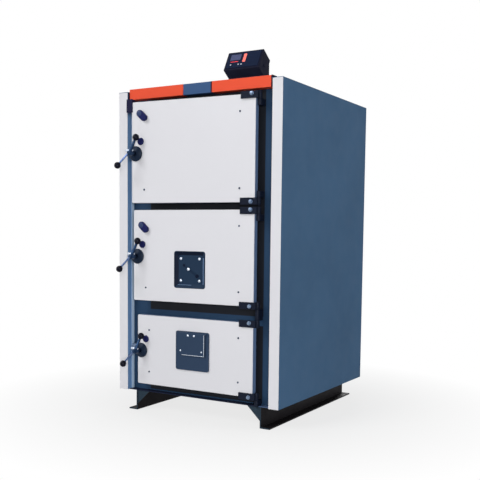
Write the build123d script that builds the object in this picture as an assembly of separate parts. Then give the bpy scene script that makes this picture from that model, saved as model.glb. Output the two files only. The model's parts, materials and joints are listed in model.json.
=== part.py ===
# Solid-fuel steel boiler on angle feet: three hinged front doors with bent latch levers.
# Built with X to the right, Y into the depth from the jacket's front face, Z up from the floor,
# then moved along Y so that the origin is under the middle of the whole part.
from build123d import *
import math
import os

# Jacket
jacket_width = 800
jacket_depth = 868
jacket_height = 1300
sheet = 2
trim_width = 45
trim_thickness = 2
return_depth = 45
edge_strip_depth = 17
edge_strip_thickness = 1.5

# Feet
foot_height = 88
rail_inset = 84
rail_thickness = 6
rail_flange = 40
rail_front_inset = 12
rail_back_inset = 24
gusset_width = 62
gusset_height = 60
gusset_inset = 4

# Welded body
water_wall = 185
back_wall_thickness = 166
front_rail_thickness = 60
opening_margin = 54
grate_height = 30
grate_drop = 25
grate_bar = 13
grate_pitch = 33
grate_side_gap = 6
grate_end_gap = 0.3
grate_tie = 20

# Header and controller
header_gap = 5
header_lap = 34
header_height = 45
header_front = 8
badge_half_width = 70
badge_recess = 1.5
badge_gap = 1
header_edge = 2
controller_x = 166
controller_width = 165
controller_front = 77
controller_tip = 64
controller_rise = 79
controller_lean = 43
controller_top_run = 55
controller_top_fall = 37
controller_neck_front = 118
controller_neck_back = 168
controller_neck_rise = 37
controller_rear_rise = 92
controller_corner = 3
face_margin = 7
face_thickness = 2

# Doors, from the top one down
door_count = 3
door_left_gap = 56
door_right_gap = 74
door_height_shares = (0.3799, 0.3475, 0.2726)
door_top_gap = 21
upper_door_gap = 29
lower_door_gap = 66
door_sill = 36
door_ajar = (4.2, 2.8, 0)
door_depth = 28
door_corner = 6
cover_thickness = 3
cover_edge = 1.5
lining_reach = 52
lining_gap = 15
rope_size = 16
rope_offset = 12
rope_clearance = 1

# Hinges
hinge_gap = 61
hinge_y = 12
pin_radius = 4.5
pin_clearance = 0.3
eye_radius = 9
lug_length = 62
lug_thickness = 8
lug_height = 28
lug_overhang = 10
lug_gap = 4
knuckle_height = 26
knuckle_gap = 0.5
bracket_half_width = 7
pin_proud = 3

# Latch levers
lever_inset = 21
lever_drop = 4
spindle_radius = 8
spindle_clearance = 0.3
hub_radius = 11
hub_front = 52
hub_back = 16
rod_start = 42
rod_lift = 9
rod_radius = 4
arm_root_radius = 8
arm_end_radius = 5
bar_sides = 20
ball_radius = 12.5
ball_bands = 8
ball_sides = 16
low_ball = (-42, -80, -56)
high_ball = (17, -27, 66)
seat_clearance = 0.3
skirt_radius = 32
skirt_edge = 4
skirt_dome = 13
skirt_bulge_share = 0.72
skirt_clearance = 1
skirt_sides = 32
tongue_length = 48
tongue_width = 16
tongue_gap = 3
tongue_thickness = 8
tongue_angle = 100
keeper_gap = 9
keeper_reach = 34
keeper_foot = 9
keeper_lip = 8
keeper_half_height = 22
keeper_clearance = 5

# Fittings on the doors
knob_doors = (1, 2)
knob_inset = 56
knob_drops = (58, 73)
knob_length = 55
knob_width = 29
knob_rise = 16
knob_angle = 43
blank_door = 2
blank_width = 151
blank_height = 155
blank_corner = 10
blank_corner_sides = 4
blank_rim = 3
blank_lip = 1
blank_depth = 10
blank_slope = 14
blank_offset = 9
blank_rise = 61
damper_door = 3
damper_size = 165
damper_thickness = 6
damper_corner = 9
damper_rise = 14
flap_half_width = 66
flap_height = 93
flap_thickness = 8
flap_gap = 0.5
flap_pivot_drop = 7
flap_pin = 2
flap_pin_clearance = 0.3
flap_ear = 7
flap_ear_gap = 0.5
port_side_margin = 18
port_low_margin = 9
port_high_margin = 18

# Back connections
flue_top_gap = 16
flue_radius = 90
flue_wall = 4
flue_length = 110
flue_passage_gap = 5
flue_panel_margin = 35
socket_x = -150
flow_drop = 55
return_height = 130
socket_radius = 38
socket_bore = 28.3
socket_length = 50

# Overrun of cuts past the faces that they open
overrun = 1

# Places that follow from the sizes above
half_width = jacket_width / 2
front_half_width = half_width - trim_width
body_top = foot_height + jacket_height - sheet
body_back = jacket_depth - sheet
rail_web_x = half_width - rail_inset
chamber_half_width = half_width - water_wall
chamber_back = body_back - back_wall_thickness
front_plane_y = return_depth
header_half_width = front_half_width - header_gap
header_bottom = jacket_height - header_lap
door_left = door_left_gap - front_half_width
door_right = front_half_width - door_right_gap
door_middle = (door_left + door_right) / 2
door_stack = header_bottom - door_top_gap - upper_door_gap - lower_door_gap - door_sill
door_heights = [share * door_stack for share in door_height_shares]
second_door_bottom = door_sill + door_heights[2] + lower_door_gap
first_door_bottom = second_door_bottom + door_heights[1] + upper_door_gap
door_bottoms = (first_door_bottom, second_door_bottom, door_sill)
lever_x = door_left + lever_inset
hinge_x = front_half_width - hinge_gap
hinge_axis = Axis((hinge_x, hinge_y, 0), (0, 0, 1))
blank_x = door_middle - blank_offset
flap_left = door_middle - flap_half_width
flap_right = door_middle + flap_half_width
port_half_width = flap_half_width - port_side_margin
first_door_top = first_door_bottom + door_heights[0]
flue_height = first_door_top - opening_margin - flue_top_gap - flue_passage_gap - flue_radius
flue_panel_bottom = flue_height - flue_radius - flue_panel_margin
flow_height = jacket_height - flow_drop


def slab(x, y, z):
    """A plain block over three intervals."""
    size = [b - a for a, b in (x, y, z)]
    centre = [(a + b) / 2 for a, b in (x, y, z)]
    return Pos(*centre) * Box(*size)


def plate(x, y, z, corner):
    """A block that faces the front, with rounded corners in that view."""
    outline = Pos((x[0] + x[1]) / 2, (z[0] + z[1]) / 2)
    outline = outline * RectangleRounded(x[1] - x[0], z[1] - z[0], corner)
    return Pos(0, y[1], 0) * extrude(Plane.XZ * outline, y[1] - y[0])


def rod(start, end, radius):
    """A round bar between two points."""
    way = Vector(*end) - Vector(*start)
    bar = Cylinder(radius, way.length, align=(Align.CENTER, Align.CENTER, Align.MIN))
    return Plane(origin=start, z_dir=way) * bar


def flat_sided(rings):
    """A solid of flat faces through rings of points, closed at both ends."""
    faces = [Face(Wire.make_polygon(ring)) for ring in (rings[0], rings[-1])]
    for ring, following in zip(rings, rings[1:]):
        for index in range(len(ring)):
            corners = [ring[index - 1], ring[index], following[index], following[index - 1]]
            faces.append(Face(Wire.make_polygon(corners)))
    return Solid(Shell(faces))


def faceted(outline, sides):
    """A round solid of flat sides through (radius, height) pairs."""
    turns = [2 * math.pi * index / sides for index in range(sides)]
    return flat_sided([
        [(radius * math.cos(turn), radius * math.sin(turn), height) for turn in turns]
        for radius, height in outline
    ])


def lever_bar(start, end, root, tip):
    """A bar of narrow flats from one point to another, with a radius at each."""
    way = Vector(*end) - Vector(*start)
    return Plane(origin=start, z_dir=way) * faceted([(root, 0), (tip, way.length)], bar_sides)


def upright(outline, bottom, top):
    """A plan outline raised between two heights."""
    return Pos(0, 0, bottom) * extrude(outline, top - bottom)


def door_span(number):
    """Bottom and top of a door above the floor."""
    bottom = foot_height + door_bottoms[number - 1]
    return (bottom, bottom + door_heights[number - 1])


def door_centre(number):
    """Height of a door's middle."""
    return sum(door_span(number)) / 2


def lever_height(number):
    """Height of the spindle that a door's lever turns on."""
    return door_centre(number) - lever_drop


def opening_span(number):
    """Bottom and top of the opening behind a door."""
    bottom, top = door_span(number)
    return (bottom + opening_margin, top - opening_margin)


def mirrored(solid):
    """The same piece on the other side of the boiler."""
    return solid.mirror(Plane.YZ)


# Feet and welded body
def base_rail():
    web = slab(
        (rail_web_x - rail_thickness, rail_web_x),
        (rail_front_inset, jacket_depth - rail_back_inset),
        (0, foot_height),
    )
    flange = slab(
        (rail_web_x - rail_thickness, rail_web_x + rail_flange),
        (rail_front_inset, jacket_depth - rail_back_inset),
        (0, rail_thickness),
    )
    inner = rail_web_x - rail_thickness
    corners = [
        (inner, foot_height),
        (inner - gusset_width, foot_height),
        (inner, foot_height - gusset_height),
    ]
    gusset = Plane.XZ * make_face(Polyline(*corners, close=True))
    front = rail_front_inset + gusset_inset
    back = jacket_depth - rail_back_inset - gusset_inset - rail_thickness
    rail = web + flange
    for place in (front, back):
        rail += Pos(0, place + rail_thickness, 0) * extrude(gusset, rail_thickness)
    return rail


def welded_body():
    inside = (-chamber_half_width, chamber_half_width)
    wall = slab(
        (chamber_half_width, half_width - sheet),
        (front_plane_y, body_back),
        (foot_height, body_top),
    )
    flue_bottom = foot_height + flue_height - flue_radius - flue_passage_gap
    passage = flue_radius + flue_passage_gap
    chamber_bottom = opening_span(3)[0]
    chamber_top = opening_span(1)[1]
    depth = (front_plane_y, body_back)
    rail_depth = (front_plane_y, front_plane_y + front_rail_thickness)
    beside_flue = slab((passage, chamber_half_width), (chamber_back, body_back), (flue_bottom, chamber_top))
    return {
        "water_wall_right": wall,
        "water_wall_left": mirrored(wall),
        "top_wall": slab(inside, depth, (chamber_top, body_top)),
        "bottom_wall": slab(inside, depth, (foot_height, chamber_bottom)),
        "back_wall_lower": slab(inside, (chamber_back, body_back), (chamber_bottom, flue_bottom)),
        "back_wall_right": beside_flue,
        "back_wall_left": mirrored(beside_flue),
        "front_rail_upper": slab(inside, rail_depth, (opening_span(2)[1], opening_span(1)[0])),
        "front_rail_lower": slab(inside, rail_depth, (opening_span(3)[1], opening_span(2)[0])),
    }


def grate():
    top = opening_span(2)[0] - grate_drop
    height = (top - grate_height, top)
    front = front_plane_y + front_rail_thickness + grate_end_gap
    back = chamber_back - grate_end_gap
    reach = chamber_half_width - grate_side_gap - grate_bar / 2
    count = 2 * math.floor(reach / grate_pitch) + 1
    bars = [
        Pos(grate_pitch * (index - (count - 1) / 2), 0, 0)
        * slab((-grate_bar / 2, grate_bar / 2), (front, back), height)
        for index in range(count)
    ]
    half_row = grate_pitch * (count - 1) / 2
    body = bars[0]
    for bar in bars[1:]:
        body += bar
    for place in (front, (front + back - grate_tie) / 2, back - grate_tie):
        body += slab((-half_row, half_row), (place, place + grate_tie), height)
    return body


# Jacket
def jacket_side():
    outer = half_width
    flange_y = trim_thickness
    inner = half_width - trim_width
    outline = [
        (outer, flange_y),
        (outer, jacket_depth),
        (outer - sheet, jacket_depth),
        (outer - sheet, flange_y + sheet),
        (inner + sheet, flange_y + sheet),
        (inner + sheet, return_depth),
        (inner, return_depth),
        (inner, flange_y),
    ]
    return upright(make_face(Polyline(*outline, close=True)), foot_height, body_top)


def corner_trim():
    return slab((half_width - trim_width, half_width), (0, trim_thickness), (foot_height, body_top))


def edge_strip():
    inner = half_width - trim_width
    return slab(
        (inner - edge_strip_thickness, inner),
        (return_depth - edge_strip_depth, return_depth),
        (foot_height, foot_height + header_bottom),
    )


def jacket_top():
    """The top sheet, notched at the front round the header."""
    height = (body_top, body_top + sheet)
    notch = (-header_half_width, header_half_width)
    lid = slab((-half_width, half_width), (0, jacket_depth), height)
    return lid - slab(notch, (-overrun, return_depth), height)


def flue_panel():
    height = foot_height + flue_height
    panel = slab(
        (sheet - half_width, half_width - sheet),
        (body_back, jacket_depth),
        (foot_height + flue_panel_bottom, body_top),
    )
    panel += rod((0, body_back, height), (0, jacket_depth + flue_length, height), flue_radius)
    bore = flue_radius - flue_wall
    return panel - rod(
        (0, body_back - overrun, height),
        (0, jacket_depth + flue_length + overrun, height),
        bore,
    )


def socket(height):
    start = (socket_x, jacket_depth, foot_height + height)
    end = (socket_x, jacket_depth + socket_length, foot_height + height)
    past = (socket_x, jacket_depth + socket_length + overrun, foot_height + height)
    return rod(start, end, socket_radius) - rod(start, past, socket_bore)


# Header and controller
def header_strip(x, front):
    """One length of the bar over the doors, with its front corners eased."""
    bottom = foot_height + header_bottom
    bar = slab(x, (front, return_depth), (bottom, bottom + header_height))
    face = bar.faces().sort_by(Axis.Y)[0]
    return fillet(face.edges(), header_edge)


def header():
    """Two painted strips with a bare plate let in between them."""
    strip = header_strip((badge_half_width + badge_gap, header_half_width), header_front)
    plate_x = (-badge_half_width, badge_half_width)
    return {
        "header_right": strip,
        "header_left": mirrored(strip),
        "header_badge": header_strip(plate_x, header_front + badge_recess),
    }


def controller_case():
    base = foot_height + jacket_height
    outline = [
        (controller_front, base + controller_tip),
        (controller_front + controller_lean, base + controller_tip + controller_rise),
        (
            controller_front + controller_lean + controller_top_run,
            base + controller_tip + controller_rise - controller_top_fall,
        ),
        (controller_neck_back, base + controller_rear_rise),
        (controller_neck_back, base),
        (controller_neck_front, base),
        (controller_neck_front, base + controller_neck_rise),
    ]
    profile = make_face(Polyline(*outline, close=True))
    profile = Plane.YZ * fillet(profile.vertices(), controller_corner)
    return Pos(controller_x - controller_width / 2, 0, 0) * extrude(profile, controller_width)


def controller_face():
    base = foot_height + jacket_height
    lean = Vector(0, controller_lean, controller_rise)
    lower = Vector(controller_x, controller_front, base + controller_tip)
    face_plane = Plane(
        origin=lower + lean * (1 / 2),
        x_dir=(1, 0, 0),
        z_dir=(0, -controller_rise, controller_lean),
    )
    panel = Rectangle(controller_width - 2 * face_margin, lean.length - 2 * face_margin)
    return extrude(face_plane * panel, face_thickness)


# Hinges and latch keepers on the body
def lug_spans(number):
    """Heights of a door's lower and upper hinge lug."""
    bottom, top = door_span(number)
    lower = (bottom - lug_overhang, bottom - lug_overhang + lug_height)
    upper = (top + lug_overhang - lug_height, top + lug_overhang)
    return lower, upper


def hinge_bracket(knuckle, pin):
    """A knuckle on an arm from the front plate, with its pin."""
    centre = (hinge_x, hinge_y)
    arm = slab(
        (hinge_x - bracket_half_width, hinge_x + bracket_half_width),
        (hinge_y, front_plane_y),
        knuckle,
    )
    barrel = rod((*centre, knuckle[0]), (*centre, knuckle[1]), eye_radius)
    return arm + barrel + rod((*centre, pin[0]), (*centre, pin[1]), pin_radius)


def bracket_over(lug):
    knuckle = (lug[1] + knuckle_gap, lug[1] + knuckle_gap + knuckle_height)
    return hinge_bracket(knuckle, (lug[0] - pin_proud, knuckle[1]))


def bracket_under(lug):
    knuckle = (lug[0] - knuckle_gap - knuckle_height, lug[0] - knuckle_gap)
    return hinge_bracket(knuckle, (knuckle[0], lug[1] + pin_proud))


def bracket_between(lower_lug, upper_lug):
    """One knuckle for two doors, with a pin at either end."""
    knuckle = (lower_lug[1] + knuckle_gap, upper_lug[0] - knuckle_gap)
    return hinge_bracket(knuckle, (lower_lug[0] - pin_proud, upper_lug[1] + pin_proud))


def bracket_on_foot(lug):
    """The lowest knuckle, which carries its door from below."""
    return hinge_bracket((foot_height, lug[0] - knuckle_gap), (foot_height, lug[1] + pin_proud))


def hinge_brackets():
    (low_1, high_1), (low_2, high_2), (low_3, high_3) = [
        lug_spans(number) for number in range(1, door_count + 1)
    ]
    return [
        bracket_under(high_1),
        bracket_over(low_1),
        bracket_under(high_2),
        bracket_between(high_3, low_2),
        bracket_on_foot(low_3),
    ]


def latch_keeper(number):
    """A hook on the front plate that the latch tongue turns behind."""
    middle = lever_height(number)
    height = (middle - keeper_half_height, middle + keeper_half_height)
    left = keeper_gap - front_half_width
    lip_back = door_depth + tongue_gap - keeper_clearance
    foot = slab(
        (left, left + keeper_foot),
        (lip_back - keeper_lip, front_plane_y),
        height,
    )
    lip = slab((left, left + keeper_reach), (lip_back - keeper_lip, lip_back), height)
    return foot + lip


# Doors, built closed
def door_cover(number):
    x = (door_left, door_right)
    sheet_metal = plate(x, (0, cover_thickness), door_span(number), door_corner)
    face = sheet_metal.faces().sort_by(Axis.Y)[0]
    return chamfer(face.edges(), cover_edge)


def door_pan(number):
    x = (door_left, door_right)
    return plate(x, (cover_thickness, door_depth), door_span(number), door_corner)


def door_lining(number):
    """The insulating plug inside the opening and the rope seal round it."""
    bottom, top = opening_span(number)
    reach = chamber_half_width - lining_gap
    plug = slab(
        (-reach, reach),
        (door_depth, door_depth + lining_reach),
        (bottom + lining_gap, top - lining_gap),
    )
    rope_depth = (door_depth, front_plane_y - rope_clearance)
    inner_x = chamber_half_width + rope_offset
    inner_z = (bottom - rope_offset, top + rope_offset)
    outer = slab(
        (-inner_x - rope_size, inner_x + rope_size),
        rope_depth,
        (inner_z[0] - rope_size, inner_z[1] + rope_size),
    )
    inner = slab((-inner_x, inner_x), rope_depth, inner_z)
    return [plug, outer - inner]


def door_lug(height):
    """A strap on the door's front corner with the eye that turns on the pin."""
    strap = slab((door_right - lug_length, hinge_x), (-lug_thickness, 0), height)
    web_left = door_right + lug_gap
    web = slab((web_left, hinge_x), (-lug_thickness, hinge_y), height)
    centre = (hinge_x, hinge_y)
    eye = rod((*centre, height[0]), (*centre, height[1]), eye_radius)
    bore = rod(
        (*centre, height[0] - overrun),
        (*centre, height[1] + overrun),
        pin_radius + pin_clearance,
    )
    return strap + web + eye - bore


def spindle_hole(number):
    middle = lever_height(number)
    start = (lever_x, -overrun, middle)
    end = (lever_x, door_depth + overrun, middle)
    return rod(start, end, spindle_radius + spindle_clearance)


def damper_span():
    """Bottom and top of the damper plate above the floor."""
    bottom = door_centre(damper_door) + damper_rise - damper_size / 2
    return (bottom, bottom + damper_size)


def flap_axis_point():
    """Depth and height of the pin along the flap's top edge."""
    y = -damper_thickness - flap_gap - flap_thickness / 2
    return (y, damper_span()[1] - flap_pivot_drop)


def port_span():
    """Bottom and top of the air port that the flap covers."""
    pivot = flap_axis_point()[1]
    return (pivot - flap_height + port_low_margin, pivot - port_high_margin)


def air_port():
    return slab(
        (door_middle - port_half_width, door_middle + port_half_width),
        (-damper_thickness - overrun, door_depth + lining_reach + overrun),
        port_span(),
    )


# Latch levers, built with the door closed
def lever_point(number, offset):
    return (lever_x + offset[0], offset[1], lever_height(number) + offset[2])


def lever_crossing(number):
    """The point on the hub where both bars start."""
    return lever_point(number, (0, -rod_start, rod_lift))


def lever(number):
    middle = lever_height(number)
    start = door_depth + tongue_gap + tongue_thickness
    front = (lever_x, -hub_front, middle)
    body = lever_bar((lever_x, start, middle), front, spindle_radius, spindle_radius)
    body += lever_bar((lever_x, -hub_back, middle), front, hub_radius, hub_radius)
    crossing = lever_crossing(number)
    body += lever_bar(crossing, ball_seat(number, low_ball, rod_radius), rod_radius, rod_radius)
    arm_end = ball_seat(number, high_ball, arm_end_radius)
    body += lever_bar(crossing, arm_end, arm_root_radius, arm_end_radius)
    bar = Pos(lever_x, middle) * Rot(0, 0, tongue_angle) * Pos(tongue_length / 2, 0)
    bar = bar * SlotCenterToCenter(tongue_length, tongue_width)
    body += Pos(0, start, 0) * extrude(Plane.XZ * bar, tongue_thickness)
    return body


def ball_seat(number, ball, bar):
    """The middle of the flat on a ball knob, where its bar ends."""
    crossing = Vector(*lever_crossing(number))
    centre = Vector(*lever_point(number, ball))
    inset = math.sqrt(ball_radius**2 - bar**2)
    return tuple(centre + (crossing - centre).normalized() * inset)


def ball_knob(centre, seat, bar):
    """A ball of narrow flats, with a flat that its bar ends on."""
    sweep = math.pi - math.asin(bar / ball_radius)
    turns = [sweep * index / ball_bands for index in range(1, ball_bands + 1)]
    outline = [(ball_radius * math.sin(turn), -ball_radius * math.cos(turn)) for turn in turns]
    ball = faceted(outline, ball_sides)
    return Plane(origin=centre, z_dir=Vector(*seat) - Vector(*centre)) * ball


def lever_skirt(number):
    """The domed washer between the hub and the door."""
    bulge = (skirt_radius * skirt_bulge_share, skirt_edge + (skirt_dome - skirt_edge) * skirt_bulge_share)
    outline = [(skirt_radius, 0), (skirt_radius, skirt_edge), bulge, (hub_radius, skirt_dome)]
    bore = rod((0, 0, -overrun), (0, 0, skirt_dome + overrun), spindle_radius + seat_clearance)
    washer = faceted(outline, skirt_sides) - bore
    place = Plane(origin=lever_point(number, (0, -skirt_clearance, 0)), z_dir=(0, -1, 0))
    return place * washer


def lever_knobs(number):
    """Both ball knobs and the domed skirt on the hub."""
    knobs = []
    for ball, bar in ((low_ball, rod_radius), (high_ball, arm_end_radius)):
        knobs.append(ball_knob(lever_point(number, ball), ball_seat(number, ball, bar), bar))
    return knobs + [lever_skirt(number)]


# Fittings on the doors
def pull_knob(number):
    """An oblong knob that stands aslant on the door."""
    height = door_span(number)[1] - knob_drops[knob_doors.index(number)]
    place = Pos(door_left + knob_inset, height) * Rot(0, 0, -knob_angle)
    return extrude(Plane.XZ * (place * SlotOverall(knob_length, knob_width)), knob_rise)


def blanking_outline(inset, depth):
    """The blanking plate's rounded outline, drawn in by the inset at a depth behind the door's face."""
    middle = door_span(blank_door)[0] + blank_rise + blank_height / 2
    reach = blank_width / 2 - inset - blank_corner
    rise = blank_height / 2 - inset - blank_corner
    points = []
    for quarter, (across, up) in enumerate(((1, 1), (-1, 1), (-1, -1), (1, -1))):
        for step in range(blank_corner_sides + 1):
            turn = math.pi / 2 * (quarter + step / blank_corner_sides)
            x = blank_x + across * reach + blank_corner * math.cos(turn)
            z = middle + up * rise + blank_corner * math.sin(turn)
            points.append((x, depth, z))
    return points


def blanking_block():
    """The room that the blanking plate takes up in its door."""
    sections = [(0, -blank_lip), (0, 0), (blank_slope, blank_depth + blank_rim)]
    return flat_sided([blanking_outline(*section) for section in sections])


def blanking_plate():
    """A dished plate let into the door, with sloping walls and a narrow lip."""
    sections = [(blank_rim, -blank_lip), (blank_rim, 0), (blank_rim + blank_slope, blank_depth)]
    return blanking_block() - flat_sided([blanking_outline(*section) for section in sections])


def damper_plate():
    """A plate over the air port, with the two ears that hold the flap's pin."""
    x = (door_middle - damper_size / 2, door_middle + damper_size / 2)
    body = plate(x, (-damper_thickness, 0), damper_span(), damper_corner)
    y, z = flap_axis_point()
    ear_radius = flap_thickness / 2
    near = flap_half_width + flap_ear_gap
    far = near + flap_ear
    for ear in ((door_middle - far, door_middle - near), (door_middle + near, door_middle + far)):
        body += rod((ear[0], y, z), (ear[1], y, z), ear_radius)
        body += slab(ear, (y, 0), (z - ear_radius, z + ear_radius))
    return body + rod((door_middle - far, y, z), (door_middle + far, y, z), flap_pin)


def air_flap():
    """A leaf with a rounded top edge, drilled along it for the pin."""
    y, z = flap_axis_point()
    depth = (y - flap_thickness / 2, y + flap_thickness / 2)
    leaf = slab((flap_left, flap_right), depth, (z - flap_height, z))
    leaf += rod((flap_left, y, z), (flap_right, y, z), flap_thickness / 2)
    start = (flap_left - overrun, y, z)
    end = (flap_right + overrun, y, z)
    return leaf - rod(start, end, flap_pin + flap_pin_clearance)


def turned(solids, number):
    """The pieces of a door turned out by the angle that it stands ajar."""
    return [solid.rotate(hinge_axis, door_ajar[number - 1]) for solid in solids]


def doors():
    nodes = {}
    for number in range(1, door_count + 1):
        hole = spindle_hole(number)
        pieces = {
            f"door_{number}_cover": [door_cover(number) - hole],
            f"door_{number}_pan": [door_pan(number) - hole],
            f"door_{number}_lining": door_lining(number),
            f"door_{number}_lugs": [door_lug(height) for height in lug_spans(number)],
            f"lever_{number}": [lever(number)],
            f"lever_{number}_knobs": lever_knobs(number),
        }
        if number in knob_doors:
            pieces[f"pull_knob_{number}"] = [pull_knob(number)]
        if number == blank_door:
            pocket = blanking_block()
            for name in ("cover", "pan"):
                node = f"door_{number}_{name}"
                pieces[node][0] = pieces[node][0] - pocket
            pieces["blanking_plate"] = [blanking_plate()]
        if number == damper_door:
            port = air_port()
            for name in ("cover", "pan", "lining"):
                node = f"door_{number}_{name}"
                pieces[node][0] = pieces[node][0] - port
            pieces["damper_plate"] = [damper_plate() - port]
            pieces["air_flap"] = [air_flap()]
        for name, solids in pieces.items():
            nodes[name] = turned(solids, number)
    return nodes


def assembly():
    rail = base_rail()
    side = jacket_side()
    trim = corner_trim()
    strip = edge_strip()
    back = slab(
        (sheet - half_width, half_width - sheet),
        (body_back, jacket_depth),
        (foot_height, foot_height + flue_panel_bottom),
    )
    nodes = {
        "base_rail_right": [rail],
        "base_rail_left": [mirrored(rail)],
        "grate": [grate()],
        "jacket_right": [side],
        "jacket_left": [mirrored(side)],
        "corner_trim_right": [trim],
        "corner_trim_left": [mirrored(trim)],
        "edge_strip_right": [strip],
        "edge_strip_left": [mirrored(strip)],
        "jacket_top": [jacket_top()],
        "jacket_back": [back],
        "flue_panel": [flue_panel()],
        "water_sockets": [socket(flow_height), socket(return_height)],
        "controller_case": [controller_case()],
        "controller_face": [controller_face()],
        "hinge_brackets": hinge_brackets(),
        "latch_keepers": [latch_keeper(number) for number in range(1, door_count + 1)],
    }
    nodes.update({name: [solid] for name, solid in welded_body().items()})
    nodes.update({name: [solid] for name, solid in header().items()})
    nodes.update(doors())
    return nodes


pieces = assembly()
whole = Compound([solid for solids in pieces.values() for solid in solids]).bounding_box()
origin_shift = -(whole.min.Y + whole.max.Y) / 2

os.makedirs("parts", exist_ok=True)
for name, solids in pieces.items():
    moved = [Pos(0, origin_shift, 0) * solid for solid in solids]
    export_step(moved[0] if len(moved) == 1 else Compound(children=moved), f"parts/{name}.step")
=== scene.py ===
import json
import math

import bmesh
import bpy
from mathutils import Matrix, Vector


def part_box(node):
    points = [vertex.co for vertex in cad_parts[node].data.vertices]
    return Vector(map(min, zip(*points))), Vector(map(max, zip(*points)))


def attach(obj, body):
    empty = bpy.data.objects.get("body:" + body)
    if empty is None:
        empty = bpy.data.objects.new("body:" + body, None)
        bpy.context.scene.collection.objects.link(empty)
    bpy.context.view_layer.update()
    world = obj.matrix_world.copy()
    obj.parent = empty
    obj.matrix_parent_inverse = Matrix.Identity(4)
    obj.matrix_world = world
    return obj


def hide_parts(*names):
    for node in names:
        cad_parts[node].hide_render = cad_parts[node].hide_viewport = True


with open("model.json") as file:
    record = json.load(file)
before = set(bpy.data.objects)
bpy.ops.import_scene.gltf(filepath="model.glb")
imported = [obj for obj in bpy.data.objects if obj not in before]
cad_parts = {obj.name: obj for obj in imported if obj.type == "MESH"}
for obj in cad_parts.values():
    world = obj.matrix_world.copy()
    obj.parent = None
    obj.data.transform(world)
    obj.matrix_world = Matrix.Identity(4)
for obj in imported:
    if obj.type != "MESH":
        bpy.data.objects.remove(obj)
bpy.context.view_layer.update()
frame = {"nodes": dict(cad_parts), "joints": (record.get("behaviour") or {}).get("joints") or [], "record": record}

nodes = frame["nodes"]
joints = {joint["name"]: joint for joint in frame["joints"]}
bodies = frame["record"]["behaviour"]["bodies"]
body_of = {node: body for body, names in bodies.items() for node in names}

# Places on the boiler, in metres
mm = 0.001
jacket_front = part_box("corner_trim_left")[0].y
jacket_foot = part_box("corner_trim_left")[0].z
jacket_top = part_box("jacket_top")[1].z
jacket_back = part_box("jacket_back")[1].y
door_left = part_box("door_3_cover")[0].x
door_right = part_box("door_3_cover")[1].x
door_middle = (door_left + door_right) / 2
front_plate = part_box("front_rail_upper")[0].y
doors = (1, 2, 3)


def door_heights(number):
    low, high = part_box(f"door_{number}_cover")
    return low.z, high.z


# Finishes
def tone(red, green, blue, lift=1.0):
    """A screen colour as a shader takes it, made lighter or darker by lift."""
    linear = []
    for value in (red, green, blue):
        value /= 255
        value = value / 12.92 if value <= 0.04045 else ((value + 0.055) / 1.055) ** 2.4
        linear.append(min(value * lift, 1.0))
    return (*linear, 1.0)


def new_finish(name):
    finish = bpy.data.materials.new(name)
    finish.use_nodes = True
    return finish, finish.node_tree, finish.node_tree.nodes["Principled BSDF"]


def add(tree, kind, settings=None, **inputs):
    made = tree.nodes.new(kind)
    for key, value in (settings or {}).items():
        setattr(made, key, value)
    for key, value in inputs.items():
        made.inputs[key.replace("_", " ")].default_value = value
    return made


def grain(tree, scale, detail=3.0, rough=0.55, stretch=(1, 1, 1)):
    """Noise laid through the piece in its own place."""
    place = add(tree, "ShaderNodeTexCoord")
    turn = add(tree, "ShaderNodeMapping", Scale=stretch)
    noise = add(tree, "ShaderNodeTexNoise", Scale=scale, Detail=detail, Roughness=rough)
    tree.links.new(place.outputs["Object"], turn.inputs["Vector"])
    tree.links.new(turn.outputs["Vector"], noise.inputs["Vector"])
    return noise.outputs["Fac"]


def between(tree, source, low, high, start=0.3, end=0.7):
    """A number that follows a pattern between two ends."""
    ramp = add(tree, "ShaderNodeMapRange", From_Min=start, From_Max=end, To_Min=low, To_Max=high)
    tree.links.new(source, ramp.inputs["Value"])
    return ramp.outputs["Result"]


def blended(tree, source, first, second, start=0.3, end=0.7):
    """A colour that follows a pattern from one tone to another."""
    ramp = add(tree, "ShaderNodeValToRGB")
    ramp.color_ramp.elements[0].position = start
    ramp.color_ramp.elements[0].color = first
    ramp.color_ramp.elements[1].position = end
    ramp.color_ramp.elements[1].color = second
    tree.links.new(source, ramp.inputs["Fac"])
    return ramp.outputs["Color"]


def raised(tree, shader, source, strength, depth, under=None):
    """Relief on the surface from a pattern, over any relief already there."""
    bump = add(tree, "ShaderNodeBump", Strength=strength, Distance=depth)
    tree.links.new(source, bump.inputs["Height"])
    if under is not None:
        tree.links.new(under, bump.inputs["Normal"])
    tree.links.new(bump.outputs["Normal"], shader.inputs["Normal"])
    return bump.outputs["Normal"]


def powder_coat(name, colour, gloss, peel, specular=0.4, wander=0.035):
    """Baked paint: slow drift in tone, orange peel and uneven gloss."""
    finish, tree, shader = new_finish(name)
    drift = grain(tree, 2.6, 4.0)
    paint = blended(tree, drift, tone(*colour, 1 - wander), tone(*colour, 1 + wander))
    tree.links.new(paint, shader.inputs["Base Color"])
    sheen = between(tree, grain(tree, 17.0, 4.0), gloss - 0.06, gloss + 0.08)
    tree.links.new(sheen, shader.inputs["Roughness"])
    dimples = raised(tree, shader, grain(tree, 520.0, 2.0), peel, 0.0003)
    raised(tree, shader, grain(tree, 3.4, 2.0), 0.12, 0.004, dimples)
    shader.inputs["Specular IOR Level"].default_value = specular
    return finish


def inside_span(tree, source, low, high):
    """1 where a coordinate lies between two ends, 0 outside them."""
    blur = 1 * mm
    above = between(tree, source, 0.0, 1.0, low - blur, low + blur)
    below = between(tree, source, 1.0, 0.0, high - blur, high + blur)
    both = add(tree, "ShaderNodeMath", {"operation": "MULTIPLY"})
    tree.links.new(above, both.inputs[0])
    tree.links.new(below, both.inputs[1])
    return both.outputs[0]


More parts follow.
